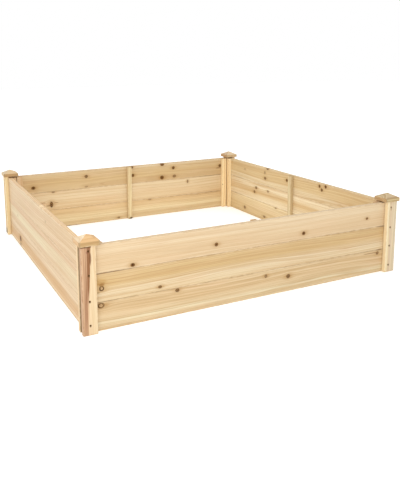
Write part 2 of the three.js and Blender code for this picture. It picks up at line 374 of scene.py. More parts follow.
def wood_material(name, lo, hi, axes, seed, knots=(), splits=(), heart=None, pale=PALE, tan=TAN, line=LINE,
                  blush=BLUSH, streak=0.75, late=0.42, ring=0.0058, pith=(0.02, 0.07), drift=0.0, light=1.0, two_tone=None,
                  plain=0.35, end_grain_and_shade=0.0, slopes=None, seam=0.0, tone_and_light_tint=(1.0, 1.0, 1.0), under_cap_shade=None, bands=(), spots=(), face_light_shade=None, seam_even=0.0, free=0.0):
    """Fir for one piece. lo and hi are its corners, axes its along, across and through directions."""
    # the tint is partly the piece's own tone and partly painted light: inner walls and corner battens brightened, front
    # boards darkened, for the light they get
    def fir_rgb(rgb):
        c = wood_rgb(rgb, light)
        return (c[0] * tone_and_light_tint[0], c[1] * tone_and_light_tint[1], c[2] * tone_and_light_tint[2], 1.0)

    m = bpy.data.materials.new(name)
    m.use_nodes = True
    t = m.node_tree
    t.nodes.clear()
    w = Net(t)
    out = t.nodes.new("ShaderNodeOutputMaterial")
    bsdf = t.nodes.new("ShaderNodeBsdfPrincipled")
    w.l.new(bsdf.outputs[0], out.inputs[0])
    tc = t.nodes.new("ShaderNodeTexCoord")
    sp = t.nodes.new("ShaderNodeSeparateXYZ")
    w.l.new(tc.outputs["Object"], sp.inputs[0])
    al, aw, at = (AX[c] for c in axes)
    mid = [(lo[k] + hi[k]) / 2 for k in range(3)]
    L = w.sub(sp.outputs[al], mid[al])
    W0 = w.sub(sp.outputs[aw], mid[aw])
    T = w.sub(sp.outputs[at], mid[at])
    rough_n = w.noise(w.xyz(w.mad(L, 60.0, seed), w.mul(W0, 130.0), w.mul(T, 130.0)), 1.0, 2.0, 0.6)
    # knots push the grain aside
    fields, W = [], W0
    for kl, kw, a, b, kind, dark in knots:
        f = w.group(KNOT, L=L, W=W0, T=T, KL=kl * MM - mid[al], KW=kw * MM - mid[aw], A=a * MM, B=b * MM,
                    Lean=0.25 * math.sin(kl), N=rough_n)
        fields.append((f, kind, dark))
        W = w.add(W, f.outputs["Push"])
    width = hi[aw] - lo[aw]
    if heart:
        wave = w.noise(w.xyz(w.mad(L, 1.6, seed * 1.9), w.mul(W, 6.0), 0.3), 1.0, 2.0, 0.5)
        pos = w.math("DIVIDE", w.add(w.add(W, width / 2), w.mul(w.sub(wave, 0.5), 0.016)), width, clamp=True)
        h = w.ramp(pos, heart)
    else:
        h = plain
    core = w.group(FIR, L=L, W=W, T=T, Seed=seed, PithW=pith[0], PithT=pith[1], Drift=drift, Ring=ring, Heart=h,
                   Streak=streak, Late=late, Pale=fir_rgb(pale), Tan=fir_rgb(tan), Line=fir_rgb(line), Blush=fir_rgb(blush))
    col, hgt, rgh = core.outputs["Color"], core.outputs["Height"], core.outputs["Rough"]
    for b0, b1, rgb, amount in bands:
        # a band of another colour along the grain, between two places across it, in mm
        wob = w.mul(w.sub(w.noise(w.xyz(w.mul(L, 6.0), seed + b0, 0.0), 1.0, 2.0, 0.6), 0.5), 0.006)
        at_w = w.add(W, wob)
        inside = w.mul(w.smooth(at_w, b0 * MM - mid[aw] - 0.0015, b0 * MM - mid[aw] + 0.0015),
                       w.smooth(at_w, b1 * MM - mid[aw] + 0.0015, b1 * MM - mid[aw] - 0.0015))
        col = w.mixc(w.mul(inside, amount), col, w.mixc(0.55, col, wood_rgb(rgb)))
    if two_tone:
        # heartwood on one side of a leaning line: (across at the bottom, across at the top, colour, dark colour, side)
        w_bot, w_top, rgb, dark_rgb = two_tone
        zz = w.add(w.math("DIVIDE", L, hi[al] - lo[al]), 0.5)
        line_w = w.mad(zz, (w_top - w_bot) * MM, w_bot * MM - mid[aw])
        wig = w.mul(w.sub(w.noise(w.xyz(w.mul(L, 9.0), seed, 0.0), 1.0, 3.0, 0.6), 0.5), 0.007)
        d = w.sub(w.add(W, wig), line_w)
        red = w.smooth(d, 0.0016, -0.0022)
        st = w.noise(w.xyz(w.mul(L, 3.0), w.mad(W, 260.0, seed), w.mul(T, 60.0)), 1.0, 3.0, 0.65)
        band = w.gauss(w.math("POWER", w.abs(w.add(d, 0.0052)), 2.0), 60000.0)
        band = w.mul(band, w.smooth(zz, 0.30, 0.62))
        shade = w.math("ADD", w.mul(w.smooth(st, 0.38, 0.70), 0.85), w.mul(band, 0.75), clamp=True)
        heartc = w.mixc(shade, wood_rgb(rgb), wood_rgb(dark_rgb))
        heartc = w.mixc(1.0, heartc, w.mixc(0.75, col, (0.82, 0.82, 0.82, 1.0)), "MULTIPLY")
        heartc = w.mixc(1.0, heartc, (1.32, 1.32, 1.32, 1.0), "MULTIPLY")
        col = w.mixc(red, col, heartc)
    if under_cap_shade:
        # painted shadow under the cap at the upper end, out to one place across the grain, in mm: (deep, out to,
        # colour)
        deep, reach, rgb = under_cap_shade
        up = w.sub((hi[al] - lo[al]) / 2, L)
        ragged = w.mul(w.sub(w.noise(w.xyz(w.mul(W0, 160.0), seed, 0.0), 1.0, 2.0, 0.6), 0.5), 0.002)
        under_cap_shade_mask = w.smooth(w.add(up, ragged), deep * MM, deep * MM * 0.55)
        under_cap_shade_mask = w.mul(under_cap_shade_mask, w.smooth(W0, reach * MM - mid[aw] + 0.001, reach * MM - mid[aw] - 0.001))
        col = w.mixc(w.mul(under_cap_shade_mask, 0.9), col, wood_rgb(rgb))
    for f, kind, dark in fields:
        p = w.group(PAINT, Color=col, Height=hgt, D=f.outputs["D"], E2=f.outputs["E2"], Kind=kind, N=rough_n, Dark=dark)
        col, hgt = p.outputs["Color"], p.outputs["Height"]
    for sl, sw, ra, rw, amount, rgb in spots:
        # a stain, or a patch of painted shade or highlight, about one place, drawn out along the grain
        da = w.math("DIVIDE", w.sub(L, sl * MM - mid[al]), ra * MM)
        db = w.math("DIVIDE", w.sub(W0, sw * MM - mid[aw]), rw * MM)
        dd = w.math("SQRT", w.add(w.mul(da, da), w.mul(db, db)))
        dd = w.mul(dd, w.mad(w.sub(rough_n, 0.5), 0.8, 1.0))
        col = w.mixc(w.mul(w.smooth(dd, 1.0, 0.45), amount), col, wood_rgb(rgb))
    if splits:
        wn = w.noise(w.xyz(w.mad(L, 55.0, seed), 0.0, 0.0), 1.0, 3.0, 0.6)
    for l0, l1, w0, wide, dark in splits:
        s = w.group(SPLIT, Color=col, Height=hgt, L=L, W=W0, L0=l0 * MM - mid[al], L1=l1 * MM - mid[al],
                    W0=w0 * MM - mid[aw], Wide=wide * MM, N=wn, Dark=dark)
        col, hgt = s.outputs["Color"], s.outputs["Height"]
    half = [(hi[k] - lo[k]) / 2 for k in range(3)]
    half_x = half[0]
    dl = w.sub(half[al], w.abs(L))
    dw = w.sub(half[aw], w.abs(W0))
    dt = w.sub(half[at], w.abs(T))
    saw = w.noise(w.xyz(w.mad(W0, 150.0, seed), w.mul(T, 900.0), 0.0), 1.0, 2.0, 0.5)
    if slopes:
        # a cap: painted light and shade on the left, front, right and back slopes, that on the rim below each, and how
        # far up the rim goes
        slope_light_up, slope_light_rim, rim_z = slopes
        X = w.sub(sp.outputs[0], mid[0])
        Y = w.sub(sp.outputs[1], mid[1])
        m_rim = w.smooth(w.sub(sp.outputs[2], rim_z), 0.0006, -0.0006)
        sides = ((X, Y, -1.0), (Y, X, -1.0), (X, Y, 1.0), (Y, X, 1.0))
        for (ahead, across, sign), t_up, t_rim in zip(sides, slope_light_up, slope_light_rim):
            m_side = w.smooth(w.sub(w.mul(ahead, sign), w.abs(across)), -0.0007, 0.0007)
            both = w.mixc(m_rim, t_up + (1.0,), t_rim + (1.0,))
            col = w.mixc(m_side, col, w.mixc(1.0, col, both, "MULTIPLY"))
        # handled grey at the four corners
        far = w.sub(half_x, w.mn(w.abs(X), w.abs(Y)))
        col = w.mixc(w.mul(w.smooth(far, 0.0075, 0.0010), 0.50), col, wood_rgb((158, 150, 122)))
    if face_light_shade:
        # painted light or shade on one face of the piece, such as the shade in a slot between two uprights: (which
        # side, how much of the light is left, across or through)
        off, reach_s = (W0, half[aw]) if face_light_shade[2] == "w" else (T, half[at])
        face_light_shade_mask = w.smooth(w.mul(off, face_light_shade[0]), reach_s - 0.0016, reach_s - 0.0006)
        col = w.mixc(face_light_shade_mask, col, w.mixc(1.0, col, (face_light_shade[1], face_light_shade[1] * 0.96, face_light_shade[1] * 0.90, 1.0), "MULTIPLY"))
    far_noise = w.noise(w.xyz(w.mad(L, 7.0, seed), 0.3, 0.0), 1.0, 2.0, 0.6)
    e = w.group(EDGES, Color=col, Height=hgt, Rough=rgh, X=dl, Y=dw, Z=dt, N=rough_n, Saw=saw, EndX=dl, Dull=end_grain_and_shade,
                Seam=w.mul(w.smooth(w.mul(W0, -free), -0.002, 0.002), seam) if free else seam, S=w.mx(far_noise, seam_even))
    w.l.new(e.outputs["Color"], bsdf.inputs["Base Color"])
    w.l.new(e.outputs["Rough"], bsdf.inputs["Roughness"])
    bump = t.nodes.new("ShaderNodeBump")
    bump.inputs["Strength"].default_value = 0.8
    bump.inputs["Distance"].default_value = 0.001
    w.l.new(e.outputs["Height"], bump.inputs["Height"])
    w.l.new(bump.outputs[0], bsdf.inputs["Normal"])
    bsdf.inputs["Specular IOR Level"].default_value = 0.22
    bsdf.inputs["IOR"].default_value = 1.5
    bsdf.inputs["Sheen Weight"].default_value = 0.02
    bsdf.inputs["Sheen Roughness"].default_value = 0.5
    return m


# ------------------------------------------------------------------ mesh making
_table = {}


def vnoise(x, y, seed):
    """Smooth value noise on arrays, from -1 to 1."""
    if seed not in _table:
        _table[seed] = np.random.RandomState(seed).uniform(-1, 1, (64, 64))
    t = _table[seed]
    x0, y0 = np.floor(x).astype(int), np.floor(y).astype(int)
    fx, fy = x - x0, y - y0
    fx, fy = fx * fx * (3 - 2 * fx), fy * fy * (3 - 2 * fy)
    a, b = t[x0 % 64, y0 % 64], t[(x0 + 1) % 64, y0 % 64]
    c, d = t[x0 % 64, (y0 + 1) % 64], t[(x0 + 1) % 64, (y0 + 1) % 64]
    return (a * (1 - fx) + b * fx) * (1 - fy) + (c * (1 - fx) + d * fx) * fy


def mesh_object(name, verts, faces, smooth=True):
    me = bpy.data.meshes.new(name)
    me.from_pydata([tuple(v) for v in verts], [], [tuple(int(k) for k in f) for f in faces])
    me.validate()
    me.update()
    if smooth:
        me.polygons.foreach_set("use_smooth", [True] * len(me.polygons))
    ob = bpy.data.objects.new(name, me)
    scene.collection.objects.link(ob)
    return ob


def refine(values, centres, reach, step):
    out = list(values)
    for c in centres:
        out += list(np.arange(c - reach, c + reach + step / 2, step))
    lo, hi = values[0], values[-1]
    out = sorted(v for v in out if lo <= v <= hi)
    keep = [out[0]]
    for v in out[1:]:
        if v - keep[-1] > step * 0.45:
            keep.append(v)
    keep[-1] = hi
    return np.array(keep)


def stick(name, lo, hi, axes, seed, ease=1.4, step=9.0, knots=(), dimples=(), wear=0.35):
    """A sawn and planed stick with eased edges, in mm. axes are along, across and through.
    The faces are slightly hollow and wavy, the edges are nicked here and there, and knots stand up in them.
    dimples are (along, across, side, radius, depth): the dents that nails sit in."""
    al, aw, at = (AX[c] for c in axes)
    lo, hi = np.array(lo) * 1000.0, np.array(hi) * 1000.0
    mid, half = (lo + hi) / 2, (hi - lo) / 2
    hl, hw, ht = half[al], half[aw], half[at]
    kn = [(k[0] - mid[al], k[1] - mid[aw], k[2], k[3]) for k in knots]
    dm = [(d[0] - mid[al], d[1] - mid[aw], d[2], d[3], d[4]) for d in dimples]
    # stations along the stick
    n = max(6, int(round((hl - 3) * 2 / step)))
    base = np.linspace(-hl + 3.0, hl - 3.0, n + 1)
    st = refine(base, [k[0] for k in kn if abs(k[0]) < hl - 6], 9.0, 2.4)
    if dm:
        st = refine(st, [d[0] for d in dm], 5.0, 0.8)
    e_end = min(1.1, ease)
    ends = [e_end * (1 - math.cos(a)) for a in np.linspace(0, math.pi / 2, 4)]
    lead = np.array([-hl, -hl + e_end * 0.13, -hl + e_end * 0.5, -hl + e_end, -hl + 2.0])
    inset0 = np.array([e_end, e_end * 0.5, e_end * 0.13, 0.0, 0.0])
    stations = np.concatenate([lead, st, -lead[::-1]])
    inset = np.concatenate([inset0, np.zeros(len(st)), inset0[::-1]])
    # rows across the face
    wi = hw - ease
    rows = np.linspace(-wi + 0.6, wi - 0.6, max(3, int(round(2 * wi / 6.0))) + 1)
    if kn:
        rows = refine(rows, [k[1] for k in kn if abs(k[1]) < wi - 1], 7.5, 2.5)
    if dm:
        rows = refine(rows, sorted({round(d[1], 1) for d in dm}), 5.0, 0.8)
    arc = np.linspace(0, math.pi / 2, 5)
    up_w, up_t, up_nw, up_nt = [], [], [], []

    def put(a, b, c, d):
        up_w.append(a), up_t.append(b), up_nw.append(c), up_nt.append(d)

    edge_t = ht - ease
    for tt in np.linspace(0, 1, 3)[1:-1]:
        put(-hw, edge_t * tt, -1.0, 0.0)
    for a in arc:
        put(-hw + ease - ease * math.cos(a), edge_t + ease * math.sin(a), -math.cos(a), math.sin(a))
    for r in rows:
        put(r, ht, 0.0, 1.0)
    for a in arc[::-1]:
        put(hw - ease + ease * math.cos(a), edge_t + ease * math.sin(a), math.cos(a), math.sin(a))
    for tt in np.linspace(1, 0, 3)[1:-1]:
        put(hw, edge_t * tt, 1.0, 0.0)
    m = len(up_w)
    pw = np.array([-hw] + up_w + [hw] + up_w[::-1])
    pt = np.array([0.0] + up_t + [0.0] + [-v for v in up_t[::-1]])
    nw = np.array([-1.0] + up_nw + [1.0] + up_nw[::-1])
    nt = np.array([0.0] + up_nt + [0.0] + [-v for v in up_nt[::-1]])
    per = len(pw)
    S, P = len(stations), per
    Ls = np.repeat(stations[:, None], P, 1)
    Wp, Tp = np.repeat(pw[None], S, 0), np.repeat(pt[None], S, 0)
    NW, NT = np.repeat(nw[None], S, 0), np.repeat(nt[None], S, 0)
    side = np.sign(NT)
    # how far each point lies under the nominal face: planing waves, hollow, nicks, knots, dimples
    sink = 0.16 + 0.10 * vnoise(Ls / 70.0 + 7 * side, Wp / 30.0 + 3, seed) + 0.05 * vnoise(Ls / 16.0, Wp / 11.0 + 9 * side, seed + 1)
    sink += 0.16 * np.abs(NT) * (1 - (Wp / hw) ** 2) * (0.5 + 0.5 * vnoise(Ls / 260.0, side + 2.5, seed + 2))
    corner = 1 - np.abs(np.abs(NW) - np.abs(NT))
    corner = np.where((np.abs(NW) > 0.05) & (np.abs(NT) > 0.05), corner, 0.0)
    nick = np.clip(vnoise(Ls / 13.0 + 11 * side, np.sign(NW) * 5 + 31, seed + 3) - 0.55, 0, 1) * 2.0
    nick += np.clip(vnoise(Ls / 60.0 + 5 * side, np.sign(NW) * 7 + 13, seed + 4), 0, 1) * 0.5
    sink += wear * corner * nick
    for kl, kw, a, b in kn:
        d = np.sqrt(((Ls - kl) / a) ** 2 + ((Wp - kw) / b) ** 2)
        sink += np.abs(NT) * (0.28 * np.exp(-((d - 1.0) / 0.22) ** 2) - 0.12 * (d < 0.9))
    for dl_, dw_, sd, rad, dep in dm:
        d = np.sqrt((Ls - dl_) ** 2 + (Wp - dw_) ** 2)
        k = np.clip((rad + 1.5 - d) / 1.5, 0, 1)
        sink += (side == sd) * np.abs(NT) * dep * k * k * (3 - 2 * k)
    ins = inset[:, None]
    Wf = Wp - NW * sink - np.sign(Wp) * np.minimum(ins, np.abs(Wp))
    Tf = Tp - NT * sink - np.sign(Tp) * np.minimum(ins, np.abs(Tp))
    # slightly uneven sawn ends
    endmask = np.exp(-(hl - np.abs(Ls)) / 1.5)
    Lf = Ls - np.sign(Ls) * endmask * (0.12 + 0.10 * vnoise(Wp / 14.0, Tp / 6.0 + 4, seed + 5))
    V = np.zeros((S, P, 3))
    V[..., al], V[..., aw], V[..., at] = Lf + mid[al], Wf + mid[aw], Tf + mid[at]
    verts = V.reshape(-1, 3) * MM
    i = np.arange(S - 1)[:, None] * P
    j = np.arange(P)[None]
    j2 = (j + 1) % P
    q = np.stack([i + j, i + j2, i + P + j2, i + P + j], -1).reshape(-1, 4)
    # right-handed if along x across x through is even
    even = (al, aw, at) in ((0, 1, 2), (1, 2, 0), (2, 0, 1))
    faces = [tuple(f) for f in (q if not even else q[:, ::-1])]
    up = list(range(1, m + 1))
    dn = [per - k for k in up]
    for s, flip in ((0, False), (S - 1, True)):
        o = s * P
        caps = [(o, o + up[0], o + dn[0])]
        caps += [(o + up[k], o + up[k + 1], o + dn[k + 1], o + dn[k]) for k in range(m - 1)]
        caps += [(o + up[-1], o + m + 1, o + dn[-1])]
        for c in caps:
            faces.append(tuple(c) if (flip ^ even) else tuple(c[::-1]))
    ob = mesh_object(name, verts, faces)
    bm = bmesh.new()
    bm.from_mesh(ob.data)
    bmesh.ops.recalc_face_normals(bm, faces=bm.faces)
    bm.to_mesh(ob.data)
    bm.free()
    return ob


# ------------------------------------------------------------------ what each piece looks like
# Knots: (along, across, half length, half width, kind, darkness), in mm, in the bed's own frame.
KNOTS = {
    "front_board_upper": [(-441, 185.5, 7.0, 6.0, 0.0, 1.0), (-155, 210, 6.2, 6.2, 0.0, 0.95), (190, 200, 6.6, 6.4, 0.0, 1.0),
                          (475, 214, 5.0, 4.6, 0.0, 0.95)],
    "front_board_middle": [(-540, 131, 7.4, 7.8, 1.0, 0.9), (-353, 100.5, 6.0, 5.0, 0.15, 0.95), (-540, 147, 10.0, 4.5, 0.0, 0.25)],
    "front_board_lower": [(-544, 79.5, 10.4, 8.0, 0.9, 1.0), (-294, 82.0, 7.0, 5.6, 0.1, 0.95), (37, 68.5, 5.4, 5.6, 0.35, 0.85),
                          (129, 53.5, 7.6, 7.4, 0.15, 0.95), (534, 74.5, 6.2, 6.0, 0.3, 0.9)],
    "back_board_upper": [(-221, 233, 8.0, 7.5, 0.1, 0.9), (-476, 204.5, 9.0, 8.0, 0.0, 1.0), (181, 259, 10.0, 8.5, 0.0, 1.0),
                         (244, 236.0, 8.0, 8.0, 0.0, 0.95), (179, 192, 10.5, 9.5, 0.0, 1.0), (249, 192, 10.0, 7.5, 0.0, 0.75),
                         (16, 259, 6.5, 7.0, 0.0, 0.9), (20, 219.5, 7.0, 8.0, 0.0, 0.95), (520, 224, 7.5, 8.0, 0.0, 0.95),
                         (-222, 183, 8.5, 4.0, 0.0, 0.45)],
    "back_board_middle": [(-384, 172.5, 7.0, 4.5, 0.0, 0.65), (-395, 116.5, 7.5, 13.5, 0.12, 1.0), (326, 157.5, 4.6, 9.0, 0.0, 0.7)],
    "back_board_lower": [(110, 85.5, 7.5, 5.0, 0.3, 0.6), (-60, 11, 7.0, 4.5, 0.1, 0.75)],
    "right_board_upper": [(199, 261, 9.0, 4.5, 0.0, 0.9), (219, 212, 9.0, 7.0, 0.1, 0.85), (222, 243, 5.5, 7.0, 0.2, 0.6),
                          (41, 234.5, 6.5, 7.5, 0.0, 1.0), (-194, 253, 6.0, 7.0, 0.0, 0.95), (-234, 254.5, 6.5, 7.5, 0.0, 1.0),
                          (-210, 237, 6.5, 7.0, 0.0, 0.95), (404, 232, 6.0, 5.0, 0.3, 0.40)],
    "right_board_middle": [(297, 153, 9.0, 7.0, 0.1, 0.85), (312, 126.5, 8.0, 6.5, 0.1, 0.85), (193, 150.5, 7.5, 5.5, 0.1, 0.7)],
    "right_board_lower": [(402, 27.5, 8.5, 8.0, 0.1, 0.8), (126, 84, 8.0, 4.0, 0.1, 0.65), (221, 20.5, 9.0, 5.5, 0.3, 0.8)],
    "left_board_upper": [(-120, 224, 6.0, 4.5, 0.5, 0.35)],
    "left_board_middle": [(388, 128, 6.0, 5.0, 0.6, 0.3)],
    "left_board_lower": [(352, 36, 14.0, 12.0, 0.0, 1.0)],
}
# Splits: (from, to, across, half width, darkness).
SPLITS = {
    "corner_strip_front_right": [(182, 246, 567.0, 0.55, 0.55)],
    "back_board_lower": [(330, 480, 82, 0.5, 0.5)],
}
# Stains, and a few patches of painted shade and highlight: (along, across, half length, half width, amount, colour).
SPOTS = {
    "corner_strip_front_right": [(241, 576.0, 8.0, 2.6, 0.7, (150, 112, 70))],
    "corner_strip_front_left": [(233, -576.5, 24.0, 4.2, 0.75, (120, 76, 44)), (196, -579.5, 26.0, 2.6, 0.5, (140, 92, 56)),
                                (252, -585.0, 6.0, 5.0, 0.45, (136, 80, 62))],
    "back_end_batten_right": [(124.5, 529.8, 4.0, 3.0, 0.8, (110, 80, 46))],
    "back_mid_batten": [(3.0, 2.0, 9.0, 15.0, 0.92, (82, 66, 46))],
    # a chip in the top edge, painted, not cut: pale spots for the broken wood with a painted highlight, dark ones for
    # painted shade in the notch
    "left_board_upper": [(-46, 264.0, 22.0, 4.5, 0.75, (250, 224, 184)), (-86, 264.0, 15.0, 3.0, 0.6, (248, 218, 176)),
                         (-20, 263.0, 9.0, 3.0, 0.5, (158, 124, 84)), (-66, 258.5, 12.0, 2.4, 0.5, (166, 130, 88))],
    # a painted shadow line along the foot of the back wall
    "back_board_lower": [(-300, 1.0, 40.0, 3.2, 0.8, (136, 124, 108))],
    "left_board_lower": [(352, 11, 10.0, 10.0, 0.95, (84, 64, 40))],
    # painted shade of the gap between the strip and the batten, at the foot
    "corner_strip_back_left": [(10, -603.0, 24.0, 3.0, 0.85, (104, 84, 56))],
    "back_board_upper": [(510, 214.0, 18.0, 2.8, 0.75, (120, 84, 44)), (-477, 198.0, 16.0, 3.0, 0.5, (150, 112, 66))],
    "front_board_middle": [(-544, 151.0, 27.0, 13.0, 0.50, (196, 152, 84)), (-539, 141.5, 11.0, 6.5, 0.70, (150, 106, 48)), (-553, 119.0, 10.0, 3.2, 0.6, (160, 128, 76)),
                           # the joint's end next to the corner strip: a dark joint with painted shade from the corner
                           (543, 175.8, 22.0, 3.0, 0.75, (112, 80, 42))],
    # the last entry: the joint's end next to the corner strip, a dark joint with painted shade from the corner
    "front_board_lower": [(-556, 80.0, 8.0, 8.0, 0.40, (166, 124, 72)), (500, 78.5, 48.0, 2.4, 0.75, (150, 108, 56)), (541, 86.8, 22.0, 3.0, 0.75, (112, 78, 40))],
    "back_board_middle": [(-406, 110, 20.0, 3.0, 0.75, (122, 86, 46)), (-372, 122, 15.0, 2.4, 0.6, (150, 110, 64)),
                          (-397, 127, 4.0, 6.0, 0.6, (84, 56, 28))],
}
# Bands of darker heartwood across each board, from its lower to its upper edge, with the board's own colours.
# The tints are partly each piece's own tone and partly painted light.
LOOK = {
    "front_board_upper": dict(tone_and_light_tint=(0.93, 0.95, 0.96), heart=[(0.0, 0.42), (0.30, 0.50), (0.62, 0.46), (0.76, 0.14), (1.0, 0.22)],
                              blush=(240, 206, 166), streak=0.42, late=0.26, pith=(0.10, 0.05), seed=1.3, line=(212, 170, 120)),
    "front_board_middle": dict(tone_and_light_tint=(0.94, 0.99, 1.01), heart=[(0.0, 0.55), (0.07, 0.30), (0.30, 0.12), (0.44, 0.55), (0.58, 0.98), (0.80, 0.92), (1.0, 0.72)],
                               tan=(224, 188, 132), streak=0.75, pith=(0.12, 0.03), seed=2.7),
    "front_board_lower": dict(tone_and_light_tint=(0.95, 1.06, 1.08), heart=[(0.0, 0.55), (0.10, 0.42), (0.24, 0.05), (0.36, 0.62), (0.60, 0.86), (0.85, 0.74), (1.0, 0.66)],
                              tan=(231, 190, 146), blush=(236, 190, 150), streak=0.80, pith=(0.11, 0.045), seed=3.9),
    "back_board_upper": dict(tone_and_light_tint=(0.99, 1.10, 1.23), heart=[(0.0, 0.85), (0.5, 1.0), (0.85, 0.8), (1.0, 0.4)], tan=(222, 184, 128), streak=0.70,
                             pith=(-0.03, -0.06), seed=4.4),
    "back_board_middle": dict(seam_even=0.47, tone_and_light_tint=(0.98, 1.03, 1.03), heart=[(0.0, 0.55), (0.25, 0.45), (0.6, 0.18), (1.0, 0.30)], tan=(228, 190, 140), streak=0.45,
                              pith=(-0.09, -0.05), seed=5.2),
    "back_board_lower": dict(seam_even=0.50, tone_and_light_tint=(1.01, 1.13, 1.22), heart=[(0.0, 0.55), (0.2, 0.45), (0.45, 0.10), (0.62, 0.5), (0.8, 0.9), (1.0, 0.95)],
                             tan=(229, 188, 136), pale=(246, 217, 168), streak=0.65, pith=(-0.10, -0.04), seed=6.1),
    "right_board_upper": dict(tone_and_light_tint=(1.01, 1.12, 1.17), heart=[(0.0, 0.30), (0.22, 0.25), (0.40, 0.85), (0.75, 0.9), (1.0, 0.55)], tan=(224, 187, 134),
                              streak=0.80, pith=(-0.05, -0.05), seed=7.6, drift=0.02),
    "right_board_middle": dict(tone_and_light_tint=(1.06, 1.17, 1.23), heart=[(0.0, 0.2), (0.2, 0.35), (0.42, 0.95), (0.6, 0.75), (0.8, 0.12), (1.0, 0.2)], tan=(222, 186, 136),
                               streak=0.85, pith=(0.06, -0.04), seed=8.3, drift=0.035),
    "right_board_lower": dict(tone_and_light_tint=(0.99, 1.09, 1.16), heart=[(0.0, 0.9), (0.35, 0.8), (0.6, 0.55), (0.8, 0.1), (1.0, 0.2)], tan=(228, 192, 138),
                              pale=(247, 219, 171), streak=0.6, pith=(0.08, -0.05), seed=9.9),
    # its top face is lightened with painted light
    "left_board_upper": dict(face_light_shade=(1.0, 1.20, "w"), tone_and_light_tint=(0.96, 0.97, 0.94), heart=[(0.0, 0.45), (0.3, 0.35), (0.62, 0.5), (0.8, 0.2), (1.0, 0.4)], tan=(236, 204, 168), pale=(243, 221, 186),
                             streak=0.45, pith=(0.08, 0.06), seed=10.2, blush=(240, 206, 176)),
    "left_board_middle": dict(tone_and_light_tint=(0.99, 0.98, 1.00), heart=[(0.0, 0.55), (0.2, 0.30), (0.45, 0.0), (0.68, 0.15), (0.8, 0.75), (1.0, 0.6)], tan=(232, 198, 160),
                              pale=(238, 224, 184), streak=0.45, pith=(0.09, 0.05), seed=11.8, blush=(238, 206, 176)),
    # at the foot, a dark band of painted contact shade, then a paler band along the bottom
    "left_board_lower": dict(bands=((-1.0, 3.6, (176, 156, 120), 0.9), (4.6, 15.0, (244, 220, 182), 0.9)), tone_and_light_tint=(1.00, 1.04, 1.06), heart=[(0.0, 0.75), (0.2, 0.98), (0.45, 1.0), (0.62, 0.45), (0.82, 0.05), (1.0, 0.3)], tan=(224, 184, 136),
                             pale=(242, 218, 184), streak=0.65, pith=(0.07, 0.05), seed=12.5, blush=(238, 204, 170)),
    "corner_strip_front_left": dict(seed=21.0, plain=0.10, pale=(250, 228, 180), streak=0.35, pith=(0.05, 0.05), tone_and_light_tint=(0.91, 0.90, 0.96),
                                    two_tone=(-588.0, -574.0, (214, 178, 145), (144, 100, 66)), line=(226, 190, 136),
                                    bands=((-605.5, -602.6, (246, 216, 176), 1.0), (-602.6, -598.5, (222, 196, 156), 0.8)),
                                    # painted shadow under the cap at the strip's top
                                    under_cap_shade=(6.0, -573.0, (104, 70, 38))),
    "corner_strip_front_right": dict(seed=22.4, plain=0.30, pale=(242, 222, 180), tan=(226, 202, 152), streak=0.30, pith=(0.06, 0.05),
                                     line=(204, 176, 124), blush=(236, 212, 160),
                                     # its left face is lightened with painted light
                                     face_light_shade=(-1.0, 1.10, "w"),
                                     bands=((557.0, 567.5, (255, 238, 200), 1.0), (557.0, 565.5, (255, 238, 204), 0.3), (571.0, 580.0, (208, 178, 158), 0.9), (580.0, 592.0, (218, 198, 176), 0.9),
                                            (594.0, 605.0, (204, 192, 176), 0.9))),
    "corner_strip_back_left": dict(seed=23.1, plain=0.35, tan=(238, 206, 150), pale=(246, 222, 168), tone_and_light_tint=(1.20, 1.24, 1.40)),
    "outer_batten_back_left": dict(seed=27.9, plain=0.3, tan=(238, 206, 150), pale=(247, 224, 170), streak=0.35, tone_and_light_tint=(1.15, 1.22, 1.36)),
    # its face toward the slot is darkened with painted shade
    "outer_batten_front_left": dict(seed=30.6, plain=0.3, tan=(238, 206, 156), pale=(248, 222, 178), streak=0.4, face_light_shade=(-1.0, 0.50, "w")),
    "corner_strip_back_right": dict(seed=24.6, plain=0.4),
    # its face toward the bed is darkened with painted shade of the corner
    "right_end_batten_back": dict(seed=25.2, plain=0.3, tan=(236, 202, 150), pale=(246, 222, 176), streak=0.4, tone_and_light_tint=(1.36, 1.45, 1.52), face_light_shade=(-1.0, 0.88, "t")),
    "back_end_batten_right": dict(seed=26.7, plain=0.3, tan=(240, 206, 152), pale=(248, 224, 176), streak=0.4, tone_and_light_tint=(1.26, 1.33, 1.38)),
    "back_mid_batten": dict(seed=28.3, plain=0.3, tan=(232, 200, 148), pale=(244, 220, 172), streak=0.4, tone_and_light_tint=(0.94, 0.99, 1.00)),
    "right_mid_batten": dict(seed=29.5, plain=0.35, tan=(228, 198, 148), pale=(240, 216, 170), streak=0.5, tone_and_light_tint=(0.91, 0.99, 1.03)),
}


def seed_of(name):
    return (sum((k + 1) * ord(c) for k, c in enumerate(name)) % 997) / 31.0


def grain_axes(name):
    side, kind = name.split("_")[0], name
    if "_board_" in name:
        return "xzy" if side in ("front", "back") else "yzx"
    if name.startswith("corner_strip"):
        return "zxy"
    if name.startswith("outer_batten"):
        return "zyx"
    return "zxy" if side in ("front", "back") else "zyx"


nails = {n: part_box(n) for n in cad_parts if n.startswith("nail_")}


def dimples_for(name, lo, hi):
    """Nail dents in a corner strip, on its outer face."""
    if not name.startswith("corner_strip"):
        return []
    end, lr = name.split("_")[2:4]
    side = -1 if end == "front" else 1
    found = []
    for n, (a, b) in nails.items():
        if n.startswith(f"nail_{end}_{lr}_"):
            c = (a + b) / 2
            found.append((c.z * 1000, c.x * 1000, side, 3.05, 0.85))
    return found


